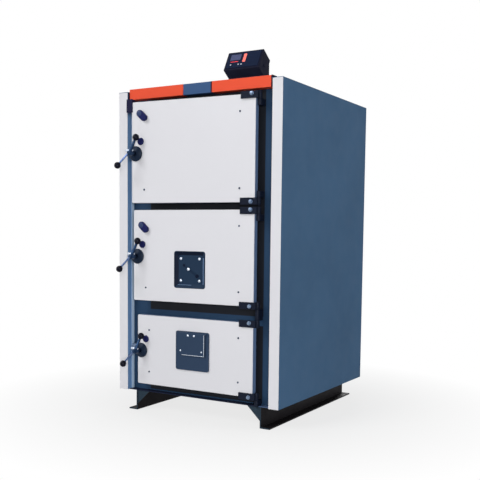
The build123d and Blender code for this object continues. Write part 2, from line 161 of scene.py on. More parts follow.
def door_shadow_frames(tree, split):
    """1 on the doors' shadows painted on the front plate: frames offset to the right of and below each door, 0
    elsewhere.
    """
    upper_foot, upper_top = door_heights(2)[0] - 43 * mm, door_heights(1)[1] + 40 * mm
    lower_foot, lower_top = door_heights(3)[0] - 28 * mm, door_heights(3)[1] - 15 * mm
    left, right = door_left + 37 * mm, door_right + 22 * mm
    upper = inside_span(tree, split.outputs["Z"], upper_foot, upper_top)
    lower = inside_span(tree, split.outputs["Z"], lower_foot, lower_top)
    either = add(tree, "ShaderNodeMath", {"operation": "MAXIMUM"})
    tree.links.new(upper, either.inputs[0])
    tree.links.new(lower, either.inputs[1])
    framed = add(tree, "ShaderNodeMath", {"operation": "MULTIPLY"})
    tree.links.new(either.outputs[0], framed.inputs[0])
    across = inside_span(tree, split.outputs["X"], left, right)
    tree.links.new(across, framed.inputs[1])
    return framed.outputs[0]


def boiler_plate():
    """The welded body: enamel on the front plate with the doors' shadows painted on it in a very dark tone, soot
    on everything behind it.
    """
    finish, tree, shader = new_finish("boiler_plate")
    place = add(tree, "ShaderNodeTexCoord")
    split = add(tree, "ShaderNodeSeparateXYZ")
    tree.links.new(place.outputs["Object"], split.inputs["Vector"])
    edge = grain(tree, 60.0, 4.0)
    fray = 12 * mm
    soot_start, soot_full = front_plate + 10 * mm, front_plate + 22 * mm
    ragged = add(tree, "ShaderNodeMath", {"operation": "MULTIPLY_ADD"})
    ragged.inputs[1].default_value = fray
    tree.links.new(edge, ragged.inputs[0])
    tree.links.new(split.outputs["Y"], ragged.inputs[2])
    inside = between(tree, ragged.outputs[0], 0.0, 1.0, soot_start, soot_full)
    blue = blended(tree, grain(tree, 3.0, 4.0), tone(37, 60, 86), tone(43, 68, 96))
    # Very dark tone of the doors' painted shadows on the front plate
    shadow_black = blended(tree, grain(tree, 3.0, 4.0), tone(26, 28, 34), tone(31, 34, 41))
    enamel = add(tree, "ShaderNodeMix", {"data_type": "RGBA"})
    tree.links.new(door_shadow_frames(tree, split), enamel.inputs["Factor"])
    tree.links.new(blue, enamel.inputs[6])
    tree.links.new(shadow_black, enamel.inputs[7])
    soot = blended(tree, grain(tree, 22.0, 6.0, 0.65), tone(22, 20, 19), tone(66, 60, 55), 0.35, 0.75)
    coat = add(tree, "ShaderNodeMix", {"data_type": "RGBA"})
    tree.links.new(inside, coat.inputs["Factor"])
    tree.links.new(enamel.outputs[2], coat.inputs[6])
    tree.links.new(soot, coat.inputs[7])
    tree.links.new(coat.outputs[2], shader.inputs["Base Color"])
    soot_dullness = 0.42
    rough = add(tree, "ShaderNodeMath", {"operation": "MULTIPLY_ADD"})
    rough.inputs[1].default_value = soot_dullness
    tree.links.new(inside, rough.inputs[0])
    tree.links.new(between(tree, grain(tree, 17.0, 4.0), 0.38, 0.52), rough.inputs[2])
    tree.links.new(rough.outputs[0], shader.inputs["Roughness"])
    crust = raised(tree, shader, grain(tree, 240.0, 5.0, 0.7), 0.25, 0.0006)
    raised(tree, shader, grain(tree, 28.0, 3.0), 0.15, 0.002, crust)
    shader.inputs["Specular IOR Level"].default_value = 0.12
    return finish


def bare_metal(name, dark, light, gloss, scale):
    """Plated or blued steel with cloudy tone and fine scratches."""
    finish, tree, shader = new_finish(name)
    tree.links.new(blended(tree, grain(tree, scale, 5.0, 0.6), dark, light), shader.inputs["Base Color"])
    sheen = between(tree, grain(tree, scale * 4, 4.0), gloss - 0.08, gloss + 0.12)
    tree.links.new(sheen, shader.inputs["Roughness"])
    scratches = grain(tree, 900.0, 2.0, 0.5, (1, 1, 0.15))
    raised(tree, shader, scratches, 0.15, 0.0002)
    shader.inputs["Metallic"].default_value = 1.0
    return finish


def moulded(name, colour, gloss, texture, specular=0.4):
    """Moulded plastic with a fine skin."""
    finish, tree, shader = new_finish(name)
    skin = blended(tree, grain(tree, 30.0, 4.0), tone(*colour, 0.9), tone(*colour, 1.12))
    tree.links.new(skin, shader.inputs["Base Color"])
    sheen = between(tree, grain(tree, 45.0, 3.0), gloss - 0.04, gloss + 0.06)
    tree.links.new(sheen, shader.inputs["Roughness"])
    raised(tree, shader, grain(tree, 1500.0, 2.0), texture, 0.0002)
    shader.inputs["Specular IOR Level"].default_value = specular
    return finish


def cast_iron():
    finish, tree, shader = new_finish("cast_iron")
    rust = blended(tree, grain(tree, 40.0, 6.0, 0.7), tone(38, 36, 35), tone(78, 70, 64), 0.35, 0.75)
    tree.links.new(rust, shader.inputs["Base Color"])
    tree.links.new(between(tree, grain(tree, 70.0, 4.0), 0.6, 0.85), shader.inputs["Roughness"])
    pits = raised(tree, shader, grain(tree, 420.0, 4.0, 0.7), 0.5, 0.0008)
    raised(tree, shader, grain(tree, 60.0, 3.0), 0.3, 0.002, pits)
    shader.inputs["Metallic"].default_value = 0.35
    return finish


def ceramic_fibre():
    """Pressed fibre board and braided rope, browned by heat."""
    finish, tree, shader = new_finish("ceramic_fibre")
    scorch = blended(tree, grain(tree, 14.0, 6.0, 0.65), tone(176, 166, 148), tone(226, 219, 205), 0.3, 0.65)
    tree.links.new(scorch, shader.inputs["Base Color"])
    place = add(tree, "ShaderNodeTexCoord")
    slanting = {"bands_direction": "DIAGONAL"}
    braid = add(tree, "ShaderNodeTexWave", slanting, Scale=60.0, Distortion=3.0, Detail=2.0)
    tree.links.new(place.outputs["Object"], braid.inputs["Vector"])
    strands = raised(tree, shader, braid.outputs["Fac"], 0.35, 0.0012)
    raised(tree, shader, grain(tree, 380.0, 5.0, 0.7), 0.45, 0.0008, strands)
    shader.inputs["Roughness"].default_value = 0.92
    shader.inputs["Sheen Weight"].default_value = 0.2
    return finish


def lit_screen(name, colour, glow):
    """A back-lit window behind clear plastic."""
    finish, tree, shader = new_finish(name)
    plastic = blended(tree, grain(tree, 90.0, 3.0), tone(*colour, 0.85), tone(*colour, 1.1))
    light = blended(tree, grain(tree, 55.0, 2.0), tone(*colour, 0.9), tone(*colour, 1.05))
    tree.links.new(plastic, shader.inputs["Base Color"])
    tree.links.new(light, shader.inputs["Emission Color"])
    shader.inputs["Emission Strength"].default_value = glow
    shader.inputs["Roughness"].default_value = 0.16
    shader.inputs["Specular IOR Level"].default_value = 0.3
    return finish


door_white = powder_coat("door_white", (224, 224, 229), 0.40, 0.08, 0.25, 0.010)
jacket_blue = powder_coat("jacket_blue", (76, 109, 143), 0.58, 0.12, 0.05, 0.07)
pan_blue = powder_coat("pan_blue", (104, 128, 164), 0.50, 0.10, 0.12)
plate_blue = powder_coat("plate_blue", (34, 52, 74), 0.46, 0.15, 0.08)
# Darker copy of the plate finish: painted shade on the blanking dish's upper and left walls, and the colour of the
# dark pads at the clamp bar's ends
dark_pads_and_painted_shade = powder_coat("dark_pads_and_painted_shade", (18, 27, 46), 0.46, 0.15, 0.05)
bar_shade = powder_coat("bar_shade", (30, 46, 67), 0.46, 0.15, 0.05)
# Pale blue of the painted highlights in the blanking dish
highlight_pale_blue = powder_coat("highlight_pale_blue", (118, 146, 186), 0.40, 0.05, 0.2)
damper_blue = powder_coat("damper_blue", (46, 63, 87), 0.42, 0.15, 0.12)
# Lighter copy of the jacket blue for the folds beside the doors: painted light
return_painted_light_blue = powder_coat("return_painted_light_blue", (122, 162, 210), 0.46, 0.10, 0.12)
strip_blue = powder_coat("strip_blue", (206, 230, 254), 0.40, 0.05, 0.2)
header_orange = powder_coat("header_orange", (236, 88, 60), 0.45, 0.08, 0.08, 0.02)
badge_blue = powder_coat("badge_blue", (60, 89, 130), 0.42, 0.05, 0.1)
rail_black = powder_coat("rail_black", (24, 22, 25), 0.55, 0.25, 0.06, 0.12)
# Lighter copy of the rail finish for front faces: painted light
rail_front_painted_light = powder_coat("rail_front_painted_light", (44, 58, 70), 0.55, 0.25, 0.06, 0.12)
sill_black = powder_coat("sill_black", (29, 35, 56), 0.50, 0.15, 0.06, 0.12)
sill_blue = powder_coat("sill_blue", (78, 98, 130), 0.50, 0.15, 0.06)
hinge_black = powder_coat("hinge_black", (19, 25, 40), 0.48, 0.2, 0.10, 0.12)
joint_and_shade_navy = moulded("joint_and_shade_navy", (22, 26, 44), 0.60, 0.10, 0.04)
# Dark navy of the painted shadow at the top door's upper corner
corner_shadow_navy = powder_coat("corner_shadow_navy", (34, 34, 62), 0.48, 0.2, 0.06, 0.12)
plate_steel = boiler_plate()
lever_steel = bare_metal("lever_steel", tone(28, 42, 66), tone(46, 68, 98), 0.34, 60.0)
rod_steel = bare_metal("rod_steel", tone(60, 76, 112), tone(100, 120, 158), 0.22, 80.0)
zinc = bare_metal("zinc", tone(178, 188, 204), tone(222, 230, 240), 0.26, 120.0)
dull_zinc = bare_metal("dull_zinc", tone(96, 112, 136), tone(140, 158, 182), 0.36, 120.0)
turned_steel = bare_metal("turned_steel", tone(128, 128, 128), tone(168, 168, 166), 0.38, 45.0)
ball_black = moulded("ball_black", (7, 9, 26), 0.20, 0.02, 0.10)
skirt_black = moulded("skirt_black", (22, 36, 56), 0.40, 0.08, 0.10)
# Navy of the knob bodies with their painted shadows, and of the discs painted as the balls' shadows
knob_and_shadow_navy = moulded("knob_and_shadow_navy", (26, 31, 82), 0.42, 0.08, 0.10)
knob_cap_painted_light = moulded("knob_cap_painted_light", (54, 68, 106), 0.36, 0.05, 0.14)
case_black = moulded("case_black", (24, 26, 44), 0.52, 0.22, 0.04)
# Lighter copy of the case finish for faces that look down: painted light
case_painted_light = moulded("case_painted_light", (40, 44, 62), 0.52, 0.22, 0.04)
face_black = moulded("face_black", (21, 32, 57), 0.42, 0.10, 0.04)
button_grey = moulded("button_grey", (196, 200, 212), 0.45, 0.08)
screen_blue = lit_screen("screen_blue", (58, 66, 104), 0.25)
line_red = lit_screen("line_red", (226, 52, 62), 0.6)
bar_salmon = lit_screen("bar_salmon", (244, 112, 100), 0.55)
iron = cast_iron()
fibre = ceramic_fibre()


# Shapes
def is_crease(edge, sharp):
    """True at a sharp fold, and where a broad flat face meets the narrow faces of its rim."""
    if len(edge.link_faces) != 2 or edge.calc_face_angle() > math.radians(sharp):
        return True
    narrow, broad = sorted(face.calc_area() for face in edge.link_faces)
    broad_from, narrow_share = 0.0004, 0.2
    return broad > broad_from and narrow < broad * narrow_share


def piece_from(name, mesh_work, finishes, body, sharp=38):
    """A new piece from finished mesh work, riding on a body."""
    for face in mesh_work.faces:
        face.smooth = True
    for edge in mesh_work.edges:
        edge.smooth = not is_crease(edge, sharp)
    mesh = bpy.data.meshes.new(name)
    mesh_work.to_mesh(mesh)
    mesh_work.free()
    for finish in finishes:
        mesh.materials.append(finish)
    piece = bpy.data.objects.new(name, mesh)
    bpy.context.scene.collection.objects.link(piece)
    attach(piece, body)
    return piece


def shells(work):
    """The loose solids of a mesh, each as a set of vertices."""
    left = set(work.verts)
    found = []
    while left:
        group = {left.pop()}
        edge = list(group)
        while edge:
            vertex = edge.pop()
            for link in vertex.link_edges:
                other = link.other_vert(vertex)
                if other not in group:
                    group.add(other)
                    edge.append(other)
        left -= group
        found.append(group)
    return found


def eased(node, width, finishes, steps=2, fold=30, choose=None):
    """A copy of a CAD node with its edges eased, in place of the node."""
    work = bmesh.new()
    work.from_mesh(nodes[node].data)
    bmesh.ops.remove_doubles(work, verts=work.verts, dist=1e-5)
    bmesh.ops.dissolve_limit(work, angle_limit=math.radians(0.8), verts=work.verts, edges=work.edges)
    for face in work.faces:
        face.material_index = choose(face) if choose else 0
    for group in shells(work):
        wide = width(group) if callable(width) else width
        edges = [
            edge for edge in work.edges
            if edge.verts[0] in group and len(edge.link_faces) == 2
            and edge.calc_face_angle() > math.radians(fold)
        ]
        bmesh.ops.bevel(
            work, geom=edges, offset=wide, offset_type="OFFSET", segments=steps, profile=0.5,
            affect="EDGES", clamp_overlap=True, material=-1,
        )
    piece = piece_from(node + "_finished", work, finishes, body_of[node])
    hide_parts(node)
    return piece


def lathe(work, outline, place, steps=40):
    """Turns an outline of (radius, height) pairs round the Z axis of a place."""
    ring = [work.verts.new((radius, 0, height)) for radius, height in outline]
    chain = [work.edges.new(pair) for pair in zip(ring, ring[1:])]
    known = set(work.verts) - set(ring)
    bmesh.ops.spin(
        work, geom=ring + chain, cent=(0, 0, 0), axis=(0, 0, 1), angle=2 * math.pi,
        steps=steps, use_merge=True,
    )
    fresh = [vertex for vertex in work.verts if vertex not in known]
    bmesh.ops.remove_doubles(work, verts=fresh, dist=1e-6)
    fresh = [vertex for vertex in work.verts if vertex not in known]
    faces = list({face for vertex in fresh for face in vertex.link_faces})
    bmesh.ops.recalc_face_normals(work, faces=faces)
    bmesh.ops.transform(work, matrix=place, verts=fresh)
    return faces


def in_metres(outline):
    """An outline of (radius, height) pairs in millimetres, made metres."""
    return [(radius * mm, height * mm) for radius, height in outline]


def hex_head(work, across, height, place):
    """A chamfered hexagon."""
    made = bmesh.ops.create_cone(
        work, cap_ends=True, segments=6, radius1=across / math.sqrt(3), radius2=across / math.sqrt(3),
        depth=height, matrix=Matrix.Translation((0, 0, height / 2)),
    )
    rim = [
        edge for edge in {edge for vertex in made["verts"] for edge in vertex.link_edges}
        if all(vertex.co.z > height * 0.9 for vertex in edge.verts)
    ]
    known = set(work.verts) - set(made["verts"])
    bmesh.ops.bevel(
        work, geom=rim, offset=across * 0.06, offset_type="OFFSET", segments=2, profile=0.5,
        affect="EDGES", clamp_overlap=True, material=-1,
    )
    fresh = [vertex for vertex in work.verts if vertex not in known]
    bmesh.ops.transform(work, matrix=place, verts=fresh)


def washer(work, radius, thick, place, steps=32):
    """A round disc with its front edge sloped off."""
    slope = thick * 0.4
    disc = [(0, 0), (radius, 0), (radius, thick * 0.6), (radius - slope, thick), (0, thick)]
    lathe(work, disc, place, steps)


def bolt(work, across, place):
    """A hex bolt on its washer, seat at the place's origin."""
    thick = across * 0.11
    washer(work, across * 0.66, thick, place)
    hex_head(work, across, across * 0.40, place @ Matrix.Translation((0, 0, thick)))


def rivet(work, radius, place):
    """A domed rivet head."""
    dome = ((0, 0.62), (0.45, 0.55), (0.8, 0.36), (1, 0.1), (1, 0), (0, 0))
    lathe(work, [(radius * across, radius * height) for across, height in dome], place, 28)


def cross_screw(work, radius, place):
    """A pan-head screw with a cross recess."""
    made = bmesh.ops.create_grid(work, x_segments=3, y_segments=3, size=radius * 0.42)
    fresh = set(made["verts"])
    faces = list({face for vertex in fresh for face in vertex.link_faces})
    rim = [edge for edge in {edge for face in faces for edge in face.edges} if len(edge.link_faces) == 1]
    middles = [(face, face.calc_center_median()) for face in faces]
    arms = [face for face, middle in middles if min(abs(middle.x), abs(middle.y)) < radius * 0.05]
    for spread, height in ((0.72, 0.02), (0.95, -0.16), (1.0, -0.34), (1.0, -0.55)):
        grown = bmesh.ops.extrude_edge_only(work, edges=rim)["geom"]
        ring = [item for item in grown if isinstance(item, bmesh.types.BMVert)]
        for vertex in ring:
            flat = vertex.co.xy.normalized() * radius * spread
            vertex.co = (flat.x, flat.y, radius * height)
        fresh.update(ring)
        rim = [item for item in grown if isinstance(item, bmesh.types.BMEdge)]
    sunk = bmesh.ops.extrude_face_region(work, geom=arms)["geom"]
    floor = [item for item in sunk if isinstance(item, bmesh.types.BMVert)]
    bmesh.ops.delete(work, geom=arms, context="FACES_ONLY")
    for vertex in floor:
        vertex.co = (vertex.co.x * 0.62, vertex.co.y * 0.62, -radius * 0.34)
    fresh.update(floor)
    faces = list({face for vertex in fresh for face in vertex.link_faces})
    bmesh.ops.recalc_face_normals(work, faces=faces)
    bmesh.ops.transform(work, matrix=place @ Matrix.Translation((0, 0, radius * 0.55)), verts=list(fresh))


def slab(work, low, high, place, ease=0.0, steps=2):
    """An eased block between two corners of a place."""
    centre = (Vector(low) + Vector(high)) / 2
    size = Vector(high) - Vector(low)
    known = set(work.verts)
    fitted = Matrix.Translation(centre) @ Matrix.Diagonal((*size, 1))
    made = bmesh.ops.create_cube(work, size=1.0, matrix=fitted)
    if ease:
        edges = list({edge for vertex in made["verts"] for edge in vertex.link_edges})
        bmesh.ops.bevel(
            work, geom=edges, offset=ease, offset_type="OFFSET", segments=steps, profile=0.5,
            affect="EDGES", clamp_overlap=True, material=-1,
        )
    fresh = [vertex for vertex in work.verts if vertex not in known]
    bmesh.ops.transform(work, matrix=place, verts=fresh)
    return fresh


def facing_front(x, y, z):
    """A place whose Z axis points out of the front."""
    return Matrix.Translation((x, y, z)) @ Matrix.Rotation(math.radians(90), 4, "X")


def facing_back(x, y, z):
    """A place whose Z axis points out of the back."""
    return Matrix.Translation((x, y, z)) @ Matrix.Rotation(math.radians(-90), 4, "X")


def along(start, end):
    """A place at start whose Z axis points at end."""
    way = Vector(end) - Vector(start)
    return Matrix.Translation(start) @ way.to_track_quat("Z", "Y").to_matrix().to_4x4()


def ajar(number):
    """Turns what is placed on a closed door to where the door stands."""
    joint = joints[f"door_{number}_hinge"]
    pin = Matrix.Translation(joint["pos_m"])
    return pin @ Matrix.Rotation(math.radians(-joint["range_deg"][0]), 4, "Z") @ pin.inverted()


# Jacket, header and feet
def jacket():
    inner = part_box("corner_trim_right")[0].x

    def lit_fold(face):
        """1 on the fold beside the doors, which takes a lighter blue as painted light, 0 on the rest of the side.
        """
        middle = face.calc_center_median()
        inwards = face.normal.x * middle.x < -0.9 * abs(middle.x)
        return 1 if inwards and abs(middle.x) < inner + 1 * mm else 0

    def lit_front_faces(face):
        """1 on what faces the front, which takes a lighter finish as painted light, 0 on the rest of the rail."""
        return 1 if face.normal.y < -0.9 else 0

    for side in ("left", "right"):
        eased(f"jacket_{side}", 0.9 * mm, [jacket_blue, return_painted_light_blue], choose=lit_fold)
        eased(f"corner_trim_{side}", 0.8 * mm, [door_white])
        eased(f"base_rail_{side}", 1.2 * mm, [rail_black, rail_front_painted_light], choose=lit_front_faces)
        eased(f"header_{side}", 0.4 * mm, [header_orange], fold=50)
        nodes[f"edge_strip_{side}"].material_slots[0].material = strip_blue
    eased("jacket_top", 0.7 * mm, [jacket_blue])
    eased("jacket_back", 0.7 * mm, [jacket_blue])
    eased("header_badge", 0.4 * mm, [badge_blue], fold=50)


def header_joints_and_shade():
    """Dark edging at the header's right end and in the joint beside its badge; the strip at the left end darkens a
    gap that is only in shade, painted shade.
    """
    left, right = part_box("header_left")[0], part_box("header_right")[1]
    badge_low, badge_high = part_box("header_badge")
    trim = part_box("corner_trim_right")[0].x
    sheet = 2 * mm
    # This strip fills a gap that is only in shade: painted shade
    left_end_shade = (-trim, left.y - 5 * mm, left.z), (left.x + sheet, right.y, jacket_top - sheet)
    right_seal = (
        (right.x - 5.5 * mm, left.y - 0.5 * mm, left.z),
        (right.x + 0.6 * mm, right.y, right.z + 0.5 * mm),
    )
    badge_seal = (
        (badge_high.x - 4.5 * mm, badge_low.y - 0.4 * mm, badge_low.z),
        (badge_high.x, badge_low.y + sheet, badge_high.z),
    )
    work = bmesh.new()
    for low, high in (left_end_shade, right_seal, badge_seal):
        slab(work, low, high, Matrix(), 0.2 * mm)
    piece_from("header_joints_and_shade", work, [joint_and_shade_navy], "boiler")


def front_sill():
    """The folded lip under the doors, in two lengths beside the hinge bracket."""
    bracket_low, bracket_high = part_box("hinge_brackets")
    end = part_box("corner_trim_right")[0].x
    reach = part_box("base_rail_right")[0].y
    gap, thick = 0.5 * mm, 3 * mm
    spans = ((-end, bracket_low.x - gap), (bracket_high.x + gap, end))
    work = bmesh.new()
    for finish, (left, right) in enumerate(spans):
        low, high = (left, reach, jacket_foot), (right, front_plate, jacket_foot + thick)
        fresh = slab(work, low, high, Matrix(), 0.4 * mm)
        for face in {face for vertex in fresh for face in vertex.link_faces}:
            face.material_index = finish
    piece_from("front_sill", work, [sill_black, sill_blue], "boiler")


def welded_body():
    for name in nodes:
        if name.endswith("_wall") or name.startswith(("water_wall", "back_wall", "front_rail")):
            nodes[name].material_slots[0].material = plate_steel
    eased("grate", 1.5 * mm, [iron])
    eased("hinge_brackets", 1.0 * mm, [hinge_black])
    eased("latch_keepers", 1.0 * mm, [dull_zinc])


# Back of the boiler
def back_connections():
    eased("flue_panel", 0.8 * mm, [jacket_blue], fold=40)
    eased("water_sockets", 1.2 * mm, [turned_steel], fold=40)


def back_screws():
    work = bmesh.new()
    low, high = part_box("jacket_back")
    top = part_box("flue_panel")[1].z
    inset, head = 16 * mm, 5 * mm
    lower = [low.z + inset, (low.z + high.z) / 2, high.z - inset]
    upper = [high.z + inset, (high.z + top) / 2, top - inset]
    for x in (low.x + inset, high.x - inset):
        for z in lower + upper:
            cross_screw(work, head, facing_back(x, jacket_back, z))
    piece_from("back_screws", work, [zinc], "boiler")


# Doors
def door(number):
    turn = ajar(number)
    eased(f"door_{number}_cover", 0.5 * mm, [door_white])
    eased(f"door_{number}_pan", 1.0 * mm, [pan_blue])
    eased(f"door_{number}_lugs", 1.4 * mm, [hinge_black])

    def ease_of(group):
        """More on the rope, which reaches wider than the board inside it."""
        rope_from, rope_ease, board_ease = 450 * mm, 5.5 * mm, 3 * mm
        xs = [vertex.co.x for vertex in group]
        return rope_ease if max(xs) - min(xs) > rope_from else board_ease

    eased(f"door_{number}_lining", ease_of, [fibre], steps=3)
    cover_screws(number, turn)
    hinge_bolts(number, turn)


def cover_screws(number, turn):
    low, high = door_heights(number)
    left, right = door_left + 62 * mm, door_right - 68 * mm
    lower, upper = low + 56 * mm, high - 65 * mm
    head = 4 * mm
    places = [(right, upper), (left, lower), (right, lower)]
    if number == 3:
        places.append((left, upper))
    work = bmesh.new()
    for x, z in places:
        cross_screw(work, head, turn @ facing_front(x, jacket_front, z))
    piece_from(f"door_{number}_screws", work, [lever_steel], f"door_{number}")


def hinge_bolts(number, turn):
    low, high = door_heights(number)
    lug_front = jacket_front - 8 * mm
    bolt_line = door_right - 14 * mm
    across, lift = 13 * mm, 2 * mm
    work = bmesh.new()
    for z in (low + lift, high):
        bolt(work, across, turn @ facing_front(bolt_line, lug_front, z))
    piece_from(f"door_{number}_hinge_bolts", work, [dull_zinc], f"door_{number}")


def corner_shadow_angle():
    """A dark angle over the upper corner of the top door, painted shadow: it darkens the place where the header's
    shadow falls beside the door's corner.
    """
    top = door_heights(1)[1]
    low, high = top - 41 * mm, top + 14 * mm
    thick = 3 * mm
    front_leaf = (door_left - 25 * mm, jacket_front - thick, low), (door_left + 5 * mm, jacket_front, high)
    side_leaf = (door_left - thick, jacket_front - 1 * mm, low), (door_left, jacket_front + 26 * mm, high)
    work = bmesh.new()
    for near, far in (front_leaf, side_leaf):
        slab(work, near, far, ajar(1), 0.8 * mm)
    piece_from("corner_shadow_angle", work, [corner_shadow_navy], "door_1")


# Latch levers
def lever_place(number):
    """The place at a lever's pivot, turned as its door is."""
    turn = Matrix.Rotation(math.radians(-joints[f"door_{number}_hinge"]["range_deg"][0]), 4, "Z")
    return Matrix.Translation(joints[f"lever_{number}_turn"]["pos_m"]) @ turn


def lever(number):
    hub = lever_place(number)
    crossing = hub @ Vector((0, 0, 9 * mm))
    low_ball = hub @ Vector((-42 * mm, -38 * mm, -56 * mm))
    high_ball = hub @ Vector((17 * mm, 15 * mm, 66 * mm))
    reach = (low_ball - crossing).normalized()
    long_bar, short_bar = 4 * mm, 5 * mm
    bright_from, seated = 14 * mm, 3.5 * mm

    def bright_rod(face):
        """1 on the long rod past the crossing, 0 on the rest of the lever."""
        return 1 if (face.calc_center_median() - crossing).dot(reach) > bright_from else 0

    eased(f"lever_{number}", 0.8 * mm, [lever_steel, rod_steel], fold=40, choose=bright_rod)
    work = bmesh.new()
    ball_grip(work, long_bar, along(low_ball - reach * seated, crossing))
    ball_grip(work, short_bar, along(high_ball, crossing))
    grips = piece_from(f"lever_{number}_grips", work, [ball_black], f"lever_{number}")
    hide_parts(f"lever_{number}_knobs")
    lever_skirt(number, hub)
    catch_pin(number, hub)
    lever_nut(number, hub)


def lever_skirt(number, hub):
    """The domed skirt round the spindle, against the door."""
    bell = [
        (8.6, 0), (31, 0), (32, 1), (32, 3.4), (31.2, 4.6), (28.5, 6.2), (24, 8.8), (18, 11.2),
        (13, 12.6), (11.4, 13.0), (11.4, 14.0), (8.6, 14.0), (8.6, 0),
    ]
    seat = 41 * mm
    work = bmesh.new()
    lathe(work, in_metres(bell), hub @ facing_front(0, seat, 0), 64)
    piece_from(f"lever_{number}_skirt", work, [skirt_black], f"lever_{number}")


def catch_pin(number, hub):
    """The bright pin across the lever's crossing."""
    pin = [(0, 0), (4.6, 0), (4.6, 24), (5.8, 25), (5.8, 33), (5.0, 34.5), (0, 35)]
    root = hub @ Vector((9 * mm, 4 * mm, 11 * mm))
    tip = hub @ Vector((-26 * mm, 4 * mm, 11 * mm))
    work = bmesh.new()
    lathe(work, in_metres(pin), along(root, tip), 32)
    piece_from(f"lever_{number}_catch_pin", work, [zinc], f"lever_{number}")


def lever_nut(number, hub):
    """The nut and washer on the spindle's front end."""
    end = hub @ facing_front(0, -10 * mm, 0)
    radius, thick = 9 * mm, 1.4 * mm
    across, height = 14 * mm, 4 * mm
    work = bmesh.new()
    washer(work, radius, thick, end)
    hex_head(work, across, height, end @ Matrix.Translation((0, 0, thick)))
    piece_from(f"lever_{number}_nut", work, [lever_steel], f"lever_{number}")


def ball_shadow_disc(number):
    """A low navy disc on the door below and right of the upper ball, painted shadow: it stands where the ball's
    shadow falls.
    """
    spot = lever_place(number) @ facing_front(24 * mm, 42 * mm, 51 * mm)
    dome = [(0, 7.6), (6, 7.3), (11, 6.4), (14.2, 4.6), (15.5, 2.2), (15.5, 0), (0, 0)]
    work = bmesh.new()
    lathe(work, in_metres(dome), spot, 40)
    piece_from(f"ball_shadow_disc_{number}", work, [knob_and_shadow_navy], f"door_{number}")


def ball_grip(work, bar, place):
    """A smooth ball with a low collar where its bar goes in."""
    radius, collar = 14 * mm, 1.6 * mm
    mouth = math.asin((bar + collar) / radius)
    bands = 18
    turns = [math.pi - (math.pi - mouth) * step / bands for step in range(bands + 1)]
    ball = [(radius * math.sin(angle), radius * math.cos(angle)) for angle in turns]
    ball[0] = (0, -radius)
    edge = ball[-1][1]
    ball += [(bar + 1.4 * mm, edge + 1.2 * mm), (bar + 0.9 * mm, edge + collar), (bar, edge + collar)]
    lathe(work, ball, place, 40)


# Fittings on the doors
def pull_knob(number):
    # The oblong knob reaches down and right into the place of its own shadow and is navy there, painted shadow;
    # the lighter cap on its upper end is painted light on its lit front
    eased(f"pull_knob_{number}", 4 * mm, [knob_and_shadow_navy], steps=4)
    top = door_heights(number)[1]
    slant = math.radians(43)
    inset, drop = 56 * mm, (58 if number == 1 else 73) * mm
    reach, proud = 12 * mm, 16 * mm
    x = door_left + inset - reach * math.cos(slant)
    z = top - drop + reach * math.sin(slant)
    dome = [(0, 3.6), (5, 3.3), (9, 2.4), (11.2, 1.0), (11.8, 0), (0, 0)]
    work = bmesh.new()
    lathe(work, in_metres(dome), ajar(number) @ facing_front(x, jacket_front - proud, z), 40)
    piece_from(f"pull_knob_{number}_cap", work, [knob_cap_painted_light], f"door_{number}")


def blanking_cover():
    turn = ajar(2)
    upright = turn.to_3x3().inverted()

    def painted_shade_walls(face):
        """1 on the dish's upper and left walls, which take a darker finish as painted shade, 0 on the rest."""
        normal = upright @ face.normal
        return 1 if normal.z < -0.3 or normal.x > 0.3 else 0

    eased("blanking_plate", 1.6 * mm, [plate_blue, dark_pads_and_painted_shade], steps=3, fold=25, choose=painted_shade_walls)
    low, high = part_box("blanking_plate")
    centre = (low.z + high.z) / 2
    middle = door_middle - 12 * mm
    floor = jacket_front + 10 * mm
    thick = 2.5 * mm
    corner_bolt, middle_bolt = 6.4 * mm, 7 * mm
    work = bmesh.new()
    for x in (-45, 45):
        for z in (-46, 46):
            rivet(work, corner_bolt, turn @ facing_front(middle + x * mm, floor, centre + z * mm))
    rivet(work, middle_bolt, turn @ facing_front(middle - 7 * mm, floor - thick, centre + 2 * mm))
    piece_from("blanking_bolts", work, [zinc], "door_2")
    blanking_bar(turn @ facing_front(middle + 2.5 * mm, floor, centre - 4 * mm), thick)
    blanking_painted_highlights(turn, middle, centre, floor)


def blanking_painted_highlights(turn, middle, centre, floor):
    """Painted highlights: bright strips down the dish's right wall and along its foot, where light catches the
    rounded inner corners.
    """
    right, half_wide = middle + 68 * mm, 1 * mm
    foot, half_tall = centre - 64 * mm, 0.6 * mm
    upright = (
        (right - half_wide, jacket_front + half_wide, centre - 60 * mm),
        (right + half_wide, floor, centre + 50 * mm),
    )
    level = (
        (middle - 58 * mm, floor - 4.5 * mm, foot - half_tall),
        (middle + 8 * mm, floor, foot + half_tall),
    )
    work = bmesh.new()
    slab(work, *upright, turn, 0.4 * mm)
    slab(work, *level, turn, 0.3 * mm)
    piece_from("blanking_painted_highlights", work, [highlight_pale_blue], "door_2")


def blanking_bar(place, thick):
    """The clamp bar that lies slantwise under the dish's middle bolt."""
    slant = place @ Matrix.Rotation(math.radians(-35), 4, "Z")
    half, side = 40 * mm, 5 * mm
    work = bmesh.new()
    slab(work, (-half, -side, 0), (half, side, thick), slant, 1.0 * mm)
    piece_from("blanking_bar", work, [bar_shade], "door_2")
    work = bmesh.new()
    high, inset = thick + 1.2 * mm, 2 * mm
    upper_end, lower_end = 6 * mm, 8 * mm
    washer(work, upper_end, high, slant @ Matrix.Translation((inset - half, 0, 0)))
    washer(work, lower_end, high, slant @ Matrix.Translation((half - inset, 0, 0)))
    piece_from("blanking_bar_ends", work, [dark_pads_and_painted_shade], "door_2")


